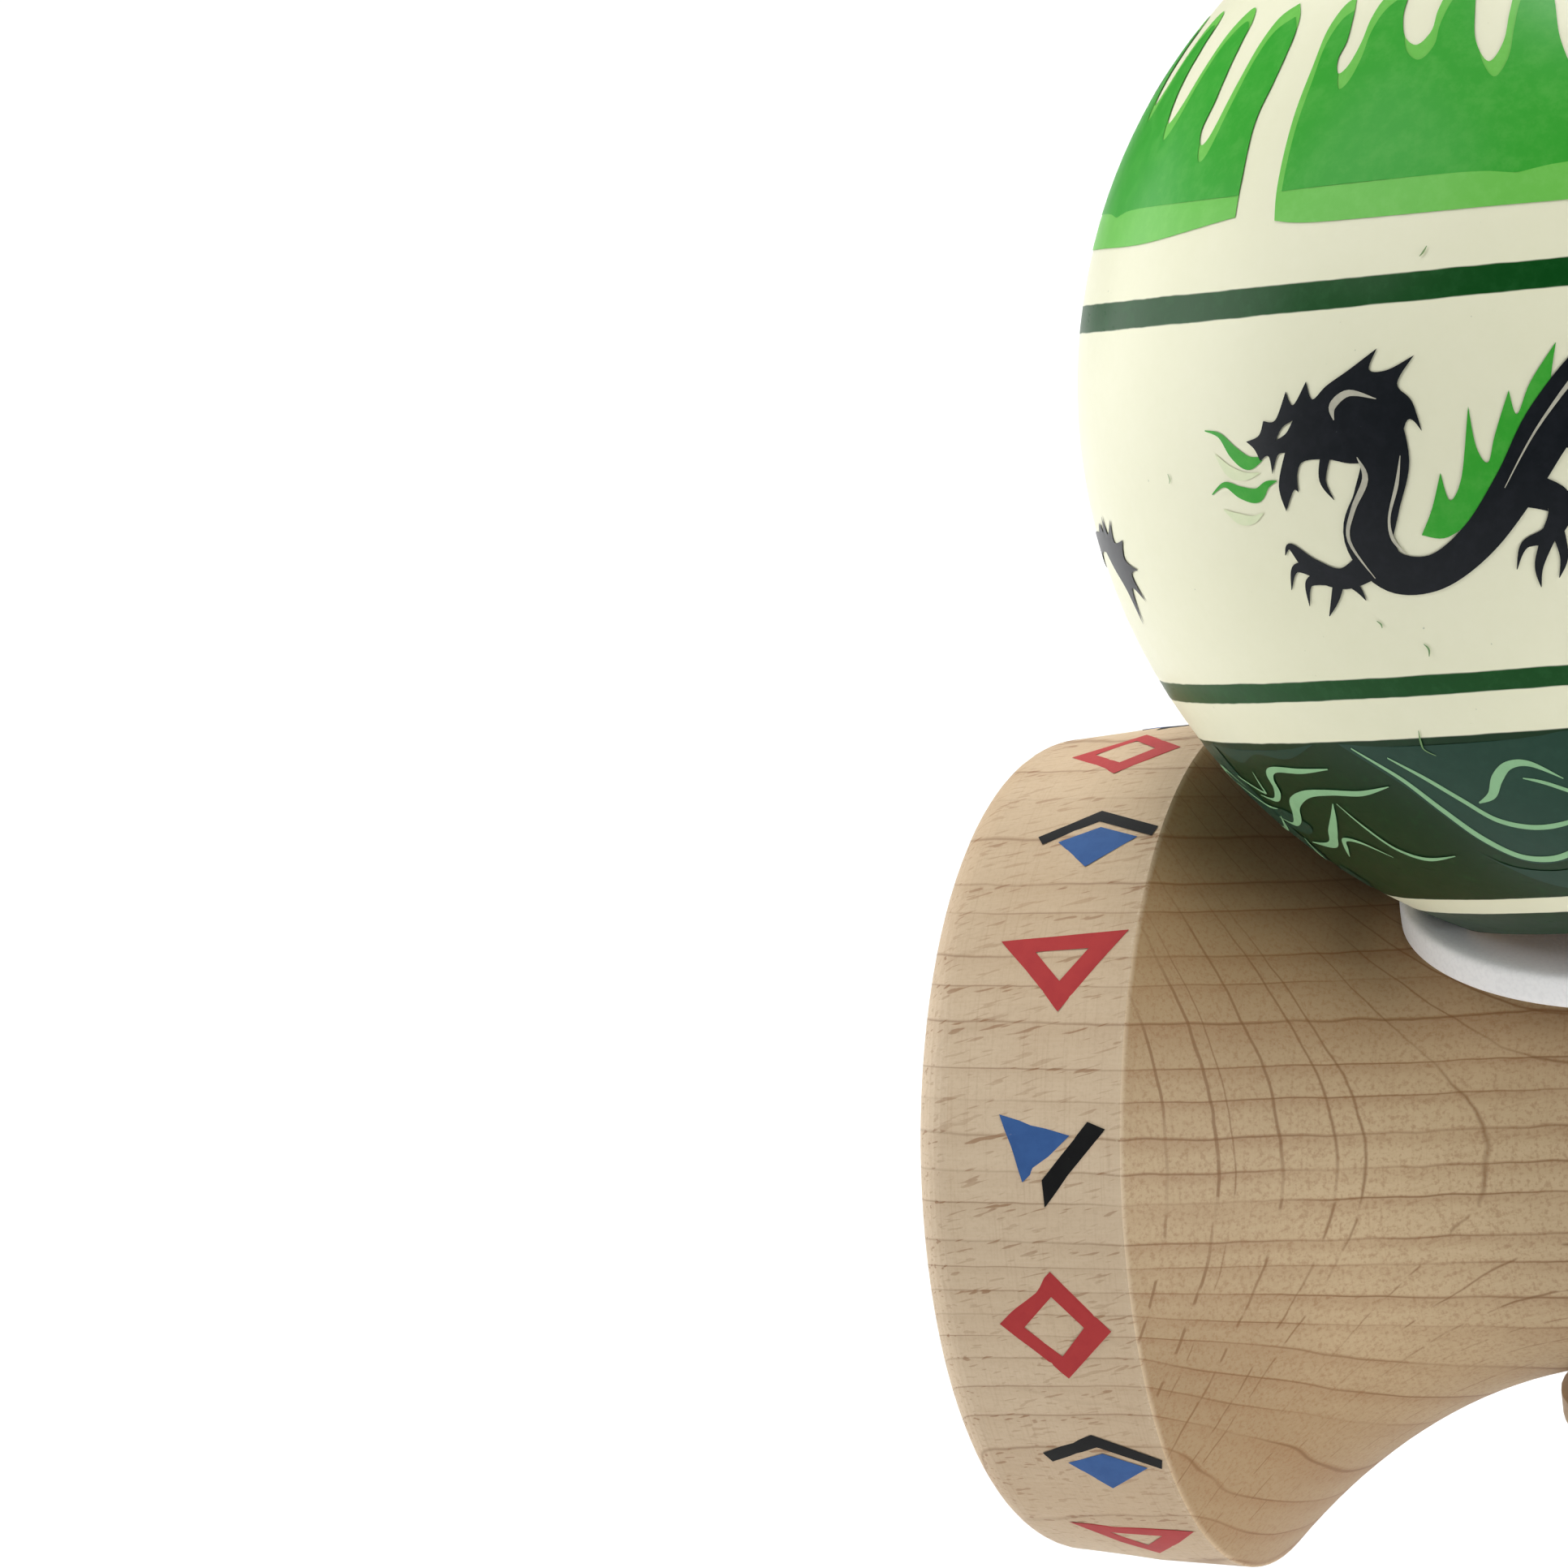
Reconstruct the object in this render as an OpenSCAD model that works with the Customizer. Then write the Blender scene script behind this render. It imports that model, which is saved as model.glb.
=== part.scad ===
// Kendama: a wooden catching toy with a spiked handle, a cross barrel with
// two cups, a soft washer and a bored ball that sits on the spike.
// Millimetres, +Z up along the handle, barrel along X with the big cup at -X.
// Origin: on the handle's axis, at the base cup's rim, which stands on z = 0.

/* [Handle] */
// Height of the handle from the base cup's rim to the tip of the spike
ken_height = 165; // [150:1:185]
// Height of the cross barrel's axis above the base cup's rim
barrel_height = 112; // [100:1:125]
// Outer radius of the base cup
base_cup_r = 19.6; // [17:0.1:21]
// Radius of the grip where it is thickest
grip_r = 11.6; // [9:0.1:13]
// Radius of the stop collar under the barrel
collar_r = 9.7; // [9.2:0.1:12]
// Radius of the straight neck that carries the barrel
neck_r = 7.2; // [6.5:0.1:8.5]
// Radius of the spike just under its rounded tip
spike_tip_r = 3.3; // [2:0.1:5]

/* [Cross barrel] */
// Distance from the handle's axis to the shoulder edge of a cup
shoulder_x = 25.8; // [22:0.1:30]
// Radius of the big cup's shoulder edge
big_shoulder_r = 23; // [20:0.1:25]
// Radius of the small cup's shoulder edge
small_shoulder_r = 21.2; // [18:0.1:24]
// Radius of the barrel at its waist
waist_r = 11.8; // [11:0.1:14]
// Distance from the handle's axis to the outermost point of a cup's lip
lip_x = 38; // [34:0.1:42]
// Depth of the big cup
big_cup_depth = 11; // [8:0.5:14]
// Depth of the small cup
small_cup_depth = 10; // [7:0.5:13]

/* [Ball] */
// Radius of the ball
ball_r = 30; // [29:0.5:32]
// Radius of the main hole
hole_r = 11.4; // [10:0.1:12]
// Depth of the main hole, from its mouth
hole_depth = 42.5; // [38:0.5:46]
// Radius of the cord hole through the ball's top
cord_r = 1.6; // [1.2:0.1:2.5]
// Angle that the ball leans back over the barrel, in degrees
lean = 11.5; // [0:0.1:14]

/* [Washer] */
// Outer radius of the soft washer
washer_r = 15.6; // [13:0.1:17]
// Thickness of the soft washer
washer_t = 1.9; // [1:0.1:3]

/* [Hidden] */
$fn = 96;
run = 0.05;                         // radial clearance of the barrel on the neck
soft_gap = 0.9;                     // gap between the washer and the handle
touch = 0.06;                       // gap between the washer and the barrel
press_gap = 0.2;                   // gap between the washer and the ball
collar_z = barrel_height - waist_r - 0.35; // top of the stop collar
neck_top = barrel_height + waist_r + 0.6;  // where the spike's taper starts
mouth = 27.45;                      // ball's centre to the plane of its mouth
ball_c = [0.1, 0.95, barrel_height + 41.12];
lean_dir = 104;                     // the way the ball's top leans, from +X
side_bend = 90;                     // radius of the washer's upward bend along X
back_bend = 36;                     // radius of its downward bend behind the barrel

// Points of a smooth curve through control points, n to a span (Catmull-Rom).
function cr(a, b, c, d, t) =
    0.5 * (2 * b + (c - a) * t + (2 * a - 5 * b + 4 * c - d) * t * t
           + (3 * b - a - 3 * c + d) * t * t * t);
function curve(p, n) = concat([
    for (i = [0 : len(p) - 2], k = [0 : n - 1])
        cr(p[max(i - 1, 0)], p[i], p[i + 1], p[min(i + 2, len(p) - 1)], k / n)],
    [p[len(p) - 1]]);
function arc(c, rx, ry, a0, a1, n) =
    [for (k = [0 : n]) let (a = a0 + (a1 - a0) * k / n) c + [rx * cos(a), ry * sin(a)]];

module wood() color([0.84, 0.74, 0.60]) children();

// Handle: base cup, waisted grip, stop collar, neck and spike in one turning.
module ken() {
    grip = curve([[base_cup_r, 4], [base_cup_r - 1.1, 8.5], [14.2, 13], [9.6, 17.5], [7.4, 22.5],
                  [7.2, 28], [8.6, 38], [10.6, 50], [grip_r, 62], [grip_r - 0.4, 74],
                  [8.9, 86], [8.2, 90.5], [8.7, 94.5], [collar_r, 97.6]], 4);
    spike = curve([[neck_r, neck_top], [neck_r - 1, neck_top + 4], [5.8, neck_top + 20],
                   [4.3, ken_height - 7], [spike_tip_r, ken_height - 2.6]], 4);
    cup = arc([0, -10.2], 20.1, 20.1, 90, 32, 20);
    rim = [[base_cup_r - 2.3, 0], [base_cup_r - 1.2, 0], [base_cup_r - 0.5, 0.3], [base_cup_r, 1.4]];
    collar = [[collar_r, collar_z - 1], [collar_r - 0.5, collar_z - 0.4], [neck_r, collar_z]];
    tip = arc([0, ken_height - 2.6], spike_tip_r, 2.6, 8, 90, 8);
    wood() difference() {
        rotate_extrude() polygon(concat(rim, grip, collar, spike, tip, cup));
        translate([0, 0, barrel_height]) rotate([90, 0, 0])
            cylinder(r = cord_r, h = 30, center = true, $fn = 48);
    }
}

// Half of the barrel's outline from the waist to the lip: [radius, distance].
function flare(shoulder, grow) = [
    for (k = [0 : 24]) let (u = k / 24)
        [waist_r + grow + (shoulder - waist_r) * pow(u, 2.2), 3 + (shoulder_x - 3) * u]];

// One cup with its flare, turned about Z and standing on the barrel's middle.
module cup_half(shoulder, depth) {
    r_lip = shoulder - 3.8;
    r_in = r_lip - 1.2;
    z_in = lip_x - 1.2;
    cup_r = (r_in * r_in + depth * depth) / (2 * depth);
    a_in = asin(r_in / cup_r);
    band = [[shoulder - 0.3, shoulder_x + 5]];
    lip = arc([r_lip, lip_x - 2.8], 3, 2.8, 0, 90, 10);
    inner = arc([r_lip, z_in], 1.2, 1.2, 95, 180, 6);
    bowl = arc([0, z_in - depth + cup_r], cup_r, cup_r, a_in - 90, -90, 20);
    rotate_extrude() polygon(concat([[0, 0], [waist_r, 0]], flare(shoulder, 0), band, lip, inner,
                                    [for (k = [1 : 20]) bowl[k]]));
}

// Cross barrel: big cup at -X, small cup at +X, bored for the handle's neck.
module sarado() {
    wood() translate([0, 0, barrel_height]) difference() {
        union() {
            rotate([0, -90, 0]) cup_half(big_shoulder_r, big_cup_depth);
            rotate([0, 90, 0]) cup_half(small_shoulder_r, small_cup_depth);
        }
        cylinder(r = neck_r + run, h = 60, center = true);
        rotate([-90, 0, 0]) cylinder(r = cord_r, h = 30, $fn = 48);
    }
}

module at_ball() {
    translate(ball_c) rotate([0, 0, lean_dir]) rotate([0, lean, 0]) rotate([0, 0, -lean_dir])
        children();
}

// Ball: bevelled main hole below, cord hole through the top.
module tama() {
    top = hole_depth - mouth;
    bevel = [[0, -33], [hole_r + 3.7, -33], [hole_r, -25.4]];
    end = arc([hole_r - 3, top - 3], 3, 3, 0, 90, 8);
    color([0.91, 0.91, 0.80]) at_ball() difference() {
        sphere(r = ball_r, $fn = 128);
        rotate_extrude() polygon(concat(bevel, end, [[0, top]]));
        cylinder(r = cord_r, h = 40, $fn = 48);
        translate([0, 0, ball_r - 1.2]) cylinder(r1 = cord_r, r2 = cord_r + 1.6, h = 1.6, $fn = 48);
    }
}

// Height of the barrel's upper side and of the ball's lower side over a point.
function barrel_top(x, y) =
    let (u = max(0, abs(x) - 3) / (shoulder_x - 3),
         r = waist_r + ((x < 0 ? big_shoulder_r : small_shoulder_r) - waist_r) * pow(u, 2.2))
    barrel_height + sqrt(max(0, r * r - y * y));
function ball_under(x, y) =
    let (a = [sin(lean) * cos(lean_dir), sin(lean) * sin(lean_dir), cos(lean)],
         c = ball_c - mouth * a, d = [x - ball_c[0], y - ball_c[1]])
    max(c[2] - (a[0] * (x - c[0]) + a[1] * (y - c[1])) / a[2]
            + 0.4 * max(0, hole_r + 0.8 - norm([x - c[0], y - c[1]])),
        ball_c[2] - sqrt(ball_r * ball_r - d * d));
function washer_free(x, y) = barrel_height + waist_r + 0.25 + washer_t
    + x * x / (2 * side_bend) - pow(max(0, y), 2) / (2 * back_bend);
function washer_point(r, a, side) =
    let (x = r * cos(a), y = r * sin(a), f = washer_free(x, y),
         t = min(f, ball_under(x, y) - press_gap))
    [x, y, side > 0 ? t : max(min(f, t + 0.4) - washer_t, barrel_top(x, y) + touch)];

// Soft washer: a ring bent over the barrel and squeezed where the ball presses.
module washer() {
    n = 96;
    r_in = neck_r + soft_gap;
    e = 0.25;
    w = washer_r - r_in - 2 * e;
    // closed loop of stations round the section: [radius, side]
    loop = concat([for (k = [0 : 14]) [r_in + e + w * k / 14, 1]],
                  [[washer_r, 0.5], [washer_r, -0.5]],
                  [for (k = [14 : -1 : 0]) [r_in + e + w * k / 14, -1]],
                  [[r_in, -0.5], [r_in, 0.5]]);
    m = len(loop);
    points = [for (i = [0 : n - 1], p = loop) let (a = i * 360 / n,
                  t = washer_point(p[0], a, 1), b = washer_point(p[0], a, -1))
        abs(p[1]) == 1 ? (p[1] > 0 ? t : b) : b + (t - b) * (p[1] > 0 ? 0.8 : 0.2)];
    faces = [for (i = [0 : n - 1], j = [0 : m - 1], h = [0, 1])
        let (a = i * m + j, b = i * m + (j + 1) % m,
             c = (i + 1) % n * m + (j + 1) % m, d = (i + 1) % n * m + j)
        h == 0 ? [a, b, c] : [a, c, d]];
    color([0.95, 0.95, 0.95]) polyhedron(points, faces, convexity = 4);
}

ken();
sarado();
washer();
tama();
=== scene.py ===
"""Looks of a kendama: beech handle and cross barrel, foam washer, printed lacquer ball.

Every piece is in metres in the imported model's frame: +Z up along the handle, the
barrel along X with the big cup at -X. Drawings are made flat, in millimetres, and
laid on the ball or on a cup's band as thin printed films.
"""

import logging
import math
from dataclasses import dataclass, field
from enum import Enum
from typing import Any, Iterable, Optional, Sequence, Union

import bpy
import numpy as np
from mathutils import Matrix, Vector
from mathutils.geometry import delaunay_2d_cdt


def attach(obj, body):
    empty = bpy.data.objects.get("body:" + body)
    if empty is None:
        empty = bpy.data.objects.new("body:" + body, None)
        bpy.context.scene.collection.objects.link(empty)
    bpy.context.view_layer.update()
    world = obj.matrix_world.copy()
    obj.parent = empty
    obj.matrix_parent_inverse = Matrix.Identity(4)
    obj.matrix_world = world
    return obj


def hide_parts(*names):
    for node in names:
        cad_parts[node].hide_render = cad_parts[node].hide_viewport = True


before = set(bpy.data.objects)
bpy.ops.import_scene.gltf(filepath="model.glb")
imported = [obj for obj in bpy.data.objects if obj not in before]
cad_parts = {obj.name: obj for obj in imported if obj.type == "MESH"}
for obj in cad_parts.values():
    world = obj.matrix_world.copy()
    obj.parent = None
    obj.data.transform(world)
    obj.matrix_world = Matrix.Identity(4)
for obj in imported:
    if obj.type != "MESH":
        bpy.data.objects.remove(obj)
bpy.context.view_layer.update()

MM = 0.001
LOG = logging.getLogger("kendama")

Point = Sequence[float]
Colour = tuple[float, float, float]


def tone(red: float, green: float, blue: float) -> Colour:
    """Linear colour of an sRGB triple given from 0 to 255."""
    return tuple(((c / 255 + 0.055) / 1.055) ** 2.4 if c > 10 else c / 3294.6
                 for c in (red, green, blue))


class Grain(Enum):
    """Which way a turned wooden piece's fibres run, with its ring and cross axes."""

    ALONG_X = ("X", "Z", "Y")
    ALONG_Z = ("Z", "X", "Y")


class Layer(Enum):
    """Height of a printed film above the surface it lies on, in millimetres."""

    FIRST = 0.03
    SECOND = 0.05
    THIRD = 0.07


# --------------------------------------------------------------------------- shading


class Value:
    """A number that varies over a surface; arithmetic on it adds Math nodes."""

    def __init__(self, graph: "Graph", socket: bpy.types.NodeSocket) -> None:
        """Wrap one output socket of a graph.

        Args:
            graph: The graph that owns the socket.
            socket: The output socket that gives the number.
        """
        self.graph = graph
        self.socket = socket

    def __add__(self, other: "Number") -> "Value":
        """This plus another number."""
        return self.graph.math("ADD", self, other)

    __radd__ = __add__

    def __mul__(self, other: "Number") -> "Value":
        """This times another number."""
        return self.graph.math("MULTIPLY", self, other)

    __rmul__ = __mul__

    def __sub__(self, other: "Number") -> "Value":
        """This less another number."""
        return self.graph.math("SUBTRACT", self, other)

    def __rsub__(self, other: "Number") -> "Value":
        """Another number less this."""
        return self.graph.math("SUBTRACT", other, self)

    def __truediv__(self, other: "Number") -> "Value":
        """This over another number."""
        return self.graph.math("DIVIDE", self, other)

    def __rtruediv__(self, other: "Number") -> "Value":
        """Another number over this."""
        return self.graph.math("DIVIDE", other, self)

    def __abs__(self) -> "Value":
        """This without its sign."""
        return self.graph.math("ABSOLUTE", self)

    def __or__(self, other: "Number") -> "Value":
        """The larger of this and another number, as two masks joined."""
        return self.graph.math("MAXIMUM", self, other)

    def fraction(self) -> "Value":
        """The part of this after the point."""
        return self.graph.math("FRACT", self)


Number = Union[Value, float]
Paint = Union[Value, bpy.types.NodeSocket, Colour]


class Graph:
    """The nodes of one material, with a Principled shader at the end."""

    def __init__(self, name: str) -> None:
        """Make an empty material.

        Args:
            name: The material's name.
        """
        self.material = bpy.data.materials.new(name)
        self.material.use_nodes = True
        self.tree = self.material.node_tree
        self.tree.nodes.clear()
        self.shader = self.node("ShaderNodeBsdfPrincipled")
        self.node("ShaderNodeOutputMaterial", inputs={"Surface": self.shader.outputs[0]})

    def node(self, kind: str, settings: Optional[dict[str, Any]] = None,
             inputs: Optional[dict[Any, Any]] = None) -> bpy.types.Node:
        """Add one node of any type.

        Args:
            kind: Blender's name of the node type.
            settings: Properties set first; "stops" holds a ramp's (place, colour) pairs.
            inputs: Value or link of each socket, by identifier, name or number.

        Returns:
            The node.
        """
        node = self.tree.nodes.new(kind)
        for key, value in (settings or {}).items():
            if key == "stops":
                ramp = node.color_ramp
                while len(ramp.elements) < len(value):
                    ramp.elements.new(1.0)
                for element, (place, colour) in zip(ramp.elements, value):
                    element.position = place
                    element.color = (*colour, 1.0)
            else:
                setattr(node, key, value)
        for key, value in (inputs or {}).items():
            self.feed(node, key, value)
        return node

    def feed(self, node: bpy.types.Node, key: Any, value: Any) -> None:
        """Set or link one input socket.

        Args:
            node: The node that has the socket.
            key: The socket's identifier, name or number.
            value: A number, colour, vector, Value or output socket.
        """
        if isinstance(key, int):
            socket = node.inputs[key]
        else:
            socket = next((s for s in node.inputs if s.identifier == key), None)
            socket = socket or node.inputs[key]
        if isinstance(value, Value):
            value = value.socket
        if isinstance(value, bpy.types.NodeSocket):
            self.tree.links.new(value, socket)
        elif socket.type == "RGBA":
            socket.default_value = (*value[:3], 1.0)
        else:
            socket.default_value = value

    def math(self, operation: str, first: Number, second: Optional[Number] = None) -> Value:
        """Add a Math node.

        Args:
            operation: The node's operation.
            first: Its first number.
            second: Its second number, where it takes one.

        Returns:
            The result as a Value.
        """
        inputs = {0: first} if second is None else {0: first, 1: second}
        return Value(self, self.node("ShaderNodeMath", {"operation": operation}, inputs).outputs[0])

    def place(self) -> bpy.types.NodeSocket:
        """The surface point in the frame, in millimetres."""
        point = self.node("ShaderNodeTexCoord").outputs["Object"]
        return self.vector("SCALE", point, scale=1000.0)

    def vector(self, operation: str, first: Any, second: Any = None,
               scale: Optional[float] = None) -> bpy.types.NodeSocket:
        """Add a Vector Math node that gives a vector.

        Args:
            operation: The node's operation.
            first: Its first vector.
            second: Its second vector, where it takes one.
            scale: Its scale, where it takes one.

        Returns:
            The vector output.
        """
        inputs = {0: first}
        if second is not None:
            inputs[1] = second
        if scale is not None:
            inputs["Scale"] = scale
        return self.node("ShaderNodeVectorMath", {"operation": operation}, inputs).outputs[0]

    def measure(self, operation: str, first: Any, second: Any = None) -> Value:
        """Add a Vector Math node that gives a number, such as DOT_PRODUCT or LENGTH.

        Args:
            operation: The node's operation.
            first: Its first vector.
            second: Its second vector, where it takes one.

        Returns:
            The number as a Value.
        """
        inputs = {0: first} if second is None else {0: first, 1: second}
        node = self.node("ShaderNodeVectorMath", {"operation": operation}, inputs)
        return Value(self, node.outputs["Value"])

    def axes(self, vector: bpy.types.NodeSocket, order: Sequence[str]) -> list[Value]:
        """The named components of a vector, in the order given.

        Args:
            vector: The vector.
            order: Their names: X, Y or Z.

        Returns:
            A Value for each.
        """
        node = self.node("ShaderNodeSeparateXYZ", inputs={0: vector})
        return [Value(self, node.outputs[name]) for name in order]

    def join(self, parts: Sequence[Number]) -> bpy.types.NodeSocket:
        """A vector of three numbers."""
        return self.node("ShaderNodeCombineXYZ", inputs=dict(enumerate(parts))).outputs[0]

    def noise(self, vector: Any, scale: float = 1.0, detail: float = 2.0,
              roughness: float = 0.5) -> Value:
        """Soft noise from 0 to 1, with features about 1 / scale long.

        Args:
            vector: Where it is read.
            scale: Its frequency.
            detail: Its octaves.
            roughness: How strong the finer octaves are.

        Returns:
            The noise as a Value.
        """
        node = self.node("ShaderNodeTexNoise", None, {
            "Vector": vector, "Scale": scale, "Detail": detail, "Roughness": roughness})
        return Value(self, node.outputs[0])

    def step(self, value: Number, low: float, high: float) -> Value:
        """A smooth mask: 0 below low and 1 above high, or the reverse if low > high.

        Args:
            value: What is tested.
            low: Where the mask is 0.
            high: Where it is 1.

        Returns:
            The mask.
        """
        flip = low > high
        node = self.node("ShaderNodeMapRange", {"interpolation_type": "SMOOTHSTEP"}, {
            "Value": value, "From Min": min(low, high), "From Max": max(low, high),
            "To Min": float(flip), "To Max": float(not flip)})
        return Value(self, node.outputs["Result"])

    def band(self, value: Number, low: float, high: float, soft: float) -> Value:
        """A mask that is 1 in a band.

        Args:
            value: What is tested.
            low: The band's lower edge.
            high: Its upper edge.
            soft: How wide its edges fade to each side.

        Returns:
            The mask.
        """
        rise = self.step(value, low - soft, low + soft)
        return rise * self.step(value, high + soft, high - soft)

    def mix(self, first: Paint, second: Paint, factor: Number,
            blend: str = "MIX") -> bpy.types.NodeSocket:
        """Mix two colours.

        Args:
            first: The colour where the factor is 0.
            second: The colour where it is 1.
            factor: How much of the second.
            blend: The blend mode.

        Returns:
            The mixed colour.
        """
        node = self.node("ShaderNodeMix", {"data_type": "RGBA", "blend_type": blend}, {
            "Factor_Float": factor, "A_Color": first, "B_Color": second})
        return node.outputs[2]

    def bump(self, height: Number, depth_mm: float,
             strength: float = 1.0) -> bpy.types.NodeSocket:
        """A normal from a height.

        Args:
            height: The height, from 0 to 1.
            depth_mm: What a height of 1 stands for, in millimetres.
            strength: How much of it is used.

        Returns:
            The normal.
        """
        node = self.node("ShaderNodeBump", None, {
            "Height": height, "Distance": depth_mm * MM, "Strength": strength})
        return node.outputs["Normal"]

    def finish(self, **sockets: Any) -> bpy.types.Material:
        """Feed the Principled shader.

        Args:
            sockets: Value of each socket, with underscores for its spaces.

        Returns:
            The material.
        """
        for key, value in sockets.items():
            self.feed(self.shader, key.replace("_", " "), value)
        return self.material


@dataclass(frozen=True)
class Beech:
    """Fine-sanded beech with growth rings, ray lines and fibre dashes; painted shade darkens it towards both
    ends of the ring axis, painted light and shade run along each flare, and the ball's shadow is painted on
    the upper flare.
    """

    name: str
    grain: Grain
    middle: tuple[float, float, float] = (0.0, 0.0, 0.0)
    edge_at: Optional[float] = None
    pale: Colour = tone(216, 197, 169)
    # warm is the wood's random darker tone and also the painted shade towards both ends of the ring axis
    warm: Colour = tone(192, 168, 137)
    flare_pale: Colour = tone(200, 177, 141)
    # flare_warm is the flare's random darker tone and also its painted light and shade
    flare_warm: Colour = tone(160, 135, 101)
    # painted shadow: the shade the ball casts on the barrel's upper flare
    flare_ball_shadow: Colour = tone(148, 120, 82)
    line_dark: Colour = tone(120, 84, 48)
    dash_dark: Colour = tone(136, 94, 56)
    pitch: float = 1.9
    lean: float = 15.0
    ray_planes: tuple[tuple[float, float], ...] = (
        (21.0, 0.13), (19.1, 0.13), (18.5, 0.05), (16.9, 0.1), (15.3, 0.08), (14.6, 0.07),
        (12.4, 0.05), (10.9, 0.06), (9.5, 0.09), (8.1, 0.07), (6.6, 0.09), (4.6, 0.07),
        (2.5, 0.08))
    ray_soft: float = 0.035

    def rings(self, g: Graph, fibre: Value, ring: Value, cross: Value) -> tuple[Value, Value]:
        """Growth rings: a thin line each, and a darker late wood that fades below it.

        Args:
            g: The material's graph.
            fibre: Millimetres along the fibres.
            ring: Millimetres across the rings.
            cross: Millimetres across both.

        Returns:
            The masks of the lines and of the late wood.
        """
        wave = (g.noise(g.join([fibre * 0.42, ring * 0.1, cross * 0.15]), 1.0, 1.0) - 0.5) * 0.3
        drift = (g.noise(g.join([0.0, ring * 0.3, 3.0]), 1.0, 1.0) - 0.5) * 2.4
        slow = (g.noise(g.join([fibre * 0.03, ring * 0.03, cross * 0.06]), 1.0, 0.0) - 0.5) * 1.6
        bowed = cross * cross * g.step(ring, -3.0, -15.0) * 0.013
        phase = ((ring - bowed + wave + drift + slow) / self.pitch).fraction()
        fading = g.noise(g.join([fibre * 0.07, ring * 0.5, cross * 0.09]), 1.0, 1.0)
        faint = g.step(fading, 0.3, 0.62)
        line = g.band(phase, 0.925, 0.97, 0.02) * (faint * 0.8 + 0.2)
        return line, g.step(phase, 0.35, 0.95) * (faint * 0.6 + 0.4)

    def rays(self, g: Graph, fibre: Value, ring: Value, cross: Value) -> Value:
        """Thin ray lines in planes across the rings, whole above and broken below.

        Args:
            g: The material's graph.
            fibre: Millimetres along the fibres.
            ring: Millimetres across the rings.
            cross: Millimetres across both.

        Returns:
            The mask of the lines.
        """
        wave = (g.noise(g.join([fibre * 0.3, ring * 0.3, cross * 0.3]), 1.0, 2.0) - 0.5) * 0.35
        depth = abs(cross) + wave
        line: Number = 0.0
        for plane, width in self.ray_planes:
            line = g.band(depth, plane - width / 2, plane + width / 2, self.ray_soft) | line
        pieces = g.noise(g.join([fibre * 0.6, ring * 0.55, cross * 0.9]), 1.0, 1.0)
        patches = g.noise(g.join([fibre * 0.09, ring * 0.12, cross * 0.1]), 1.0, 1.0)
        whole = g.step(patches, 0.36, 0.5)
        broken = g.step(pieces, 0.45, 0.53) | g.step(ring, -4.0, 2.0)
        return line * broken * (whole * 0.6 + 0.4)

    def material(self) -> bpy.types.Material:
        """Make the wood's nodes.

        Returns:
            The material.
        """
        g = Graph(self.name)
        place = g.vector("SUBTRACT", g.place(), self.middle)
        fibre, ring, cross = g.axes(place, self.grain.value)
        lean = math.radians(self.lean)
        ring, cross = (ring * math.cos(lean) + cross * math.sin(lean),
                       cross * math.cos(lean) - ring * math.sin(lean))
        line, late = self.rings(g, fibre, ring, cross)
        rays = self.rays(g, fibre, ring, cross)
        streaks = g.noise(g.join([fibre * 0.6, (ring - fibre * 0.24) * 4.4, cross * 3.6]), 1.0, 1.0)
        dash = g.step(streaks, 0.6, 0.67) * (late * 0.65 + 0.35)
        fine = g.noise(g.join([fibre * 0.5, ring * 7.0, cross * 7.0]), 1.0, 3.0, 0.6)
        speckle = g.step(g.noise(place, 4.0, 2.0, 0.7), 0.46, 0.7)
        cloud = g.noise(place, 0.1, 2.0)
        # Painted shade: besides its random tone, the wood darkens towards both ends of the ring axis, the
        # barrel's top and underside.
        colour = g.mix(self.pale, self.warm, cloud * 0.7 + fine * 0.5 - 0.15
                       + g.step(ring, 2.0, 14.0) * 0.4 + g.step(ring, -7.0, -18.0) * 0.4)
        on_flare: Number = 0.0
        if self.edge_at is not None:
            on_flare = g.step(abs(fibre), self.edge_at + 0.05, self.edge_at - 0.25)
            # Painted light and shade: the flare is lighter towards the waist and darker towards the cup's
            # shoulder and towards the bottom.
            flare = g.mix(self.flare_pale, self.flare_warm, cloud * 0.5 + fine * 0.3 - 0.25
                          + g.step(abs(fibre), 12.0, 24.0) * 0.35 + g.step(ring, -3.0, -15.0) * 0.55)
            # Painted shadow: the upper flare, under the ball, is darkened to stand for the ball's shade.
            flare = g.mix(flare, self.flare_ball_shadow, g.step(ring, -1.0, 13.0) * 0.8)
            colour = g.mix(colour, flare, on_flare)
            turning = g.noise(g.join([fibre * 8.0, ring * 0.2, cross * 0.2]), 1.0, 2.0)
            colour = g.mix(colour, self.dash_dark, g.step(turning, 0.5, 0.8) * 0.14)
        colour = g.mix(colour, self.dash_dark, late * (on_flare * 0.15 + 0.14))
        colour = g.mix(colour, self.line_dark, line * (on_flare * 0.26 + 0.48))
        colour = g.mix(colour, self.dash_dark, dash * (0.7 - on_flare * 0.45))
        colour = g.mix(colour, self.line_dark, rays * (on_flare * 0.62 + 0.08))
        colour = g.mix(colour, self.dash_dark, speckle * (on_flare * 0.26 + 0.1))
        if self.edge_at is not None:
            worn = g.band(abs(fibre), self.edge_at - 0.05, self.edge_at + 0.3, 0.15) * speckle
            colour = g.mix(colour, self.pale, worn * 0.6)
        height = fine * 0.5 + speckle * 0.2 - dash * 0.3 - line * 0.2
        return g.finish(Base_Color=colour, Roughness=0.5 + fine * 0.2,
                        Normal=g.bump(height, 0.03, 0.5), Specular_IOR_Level=0.35)


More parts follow.
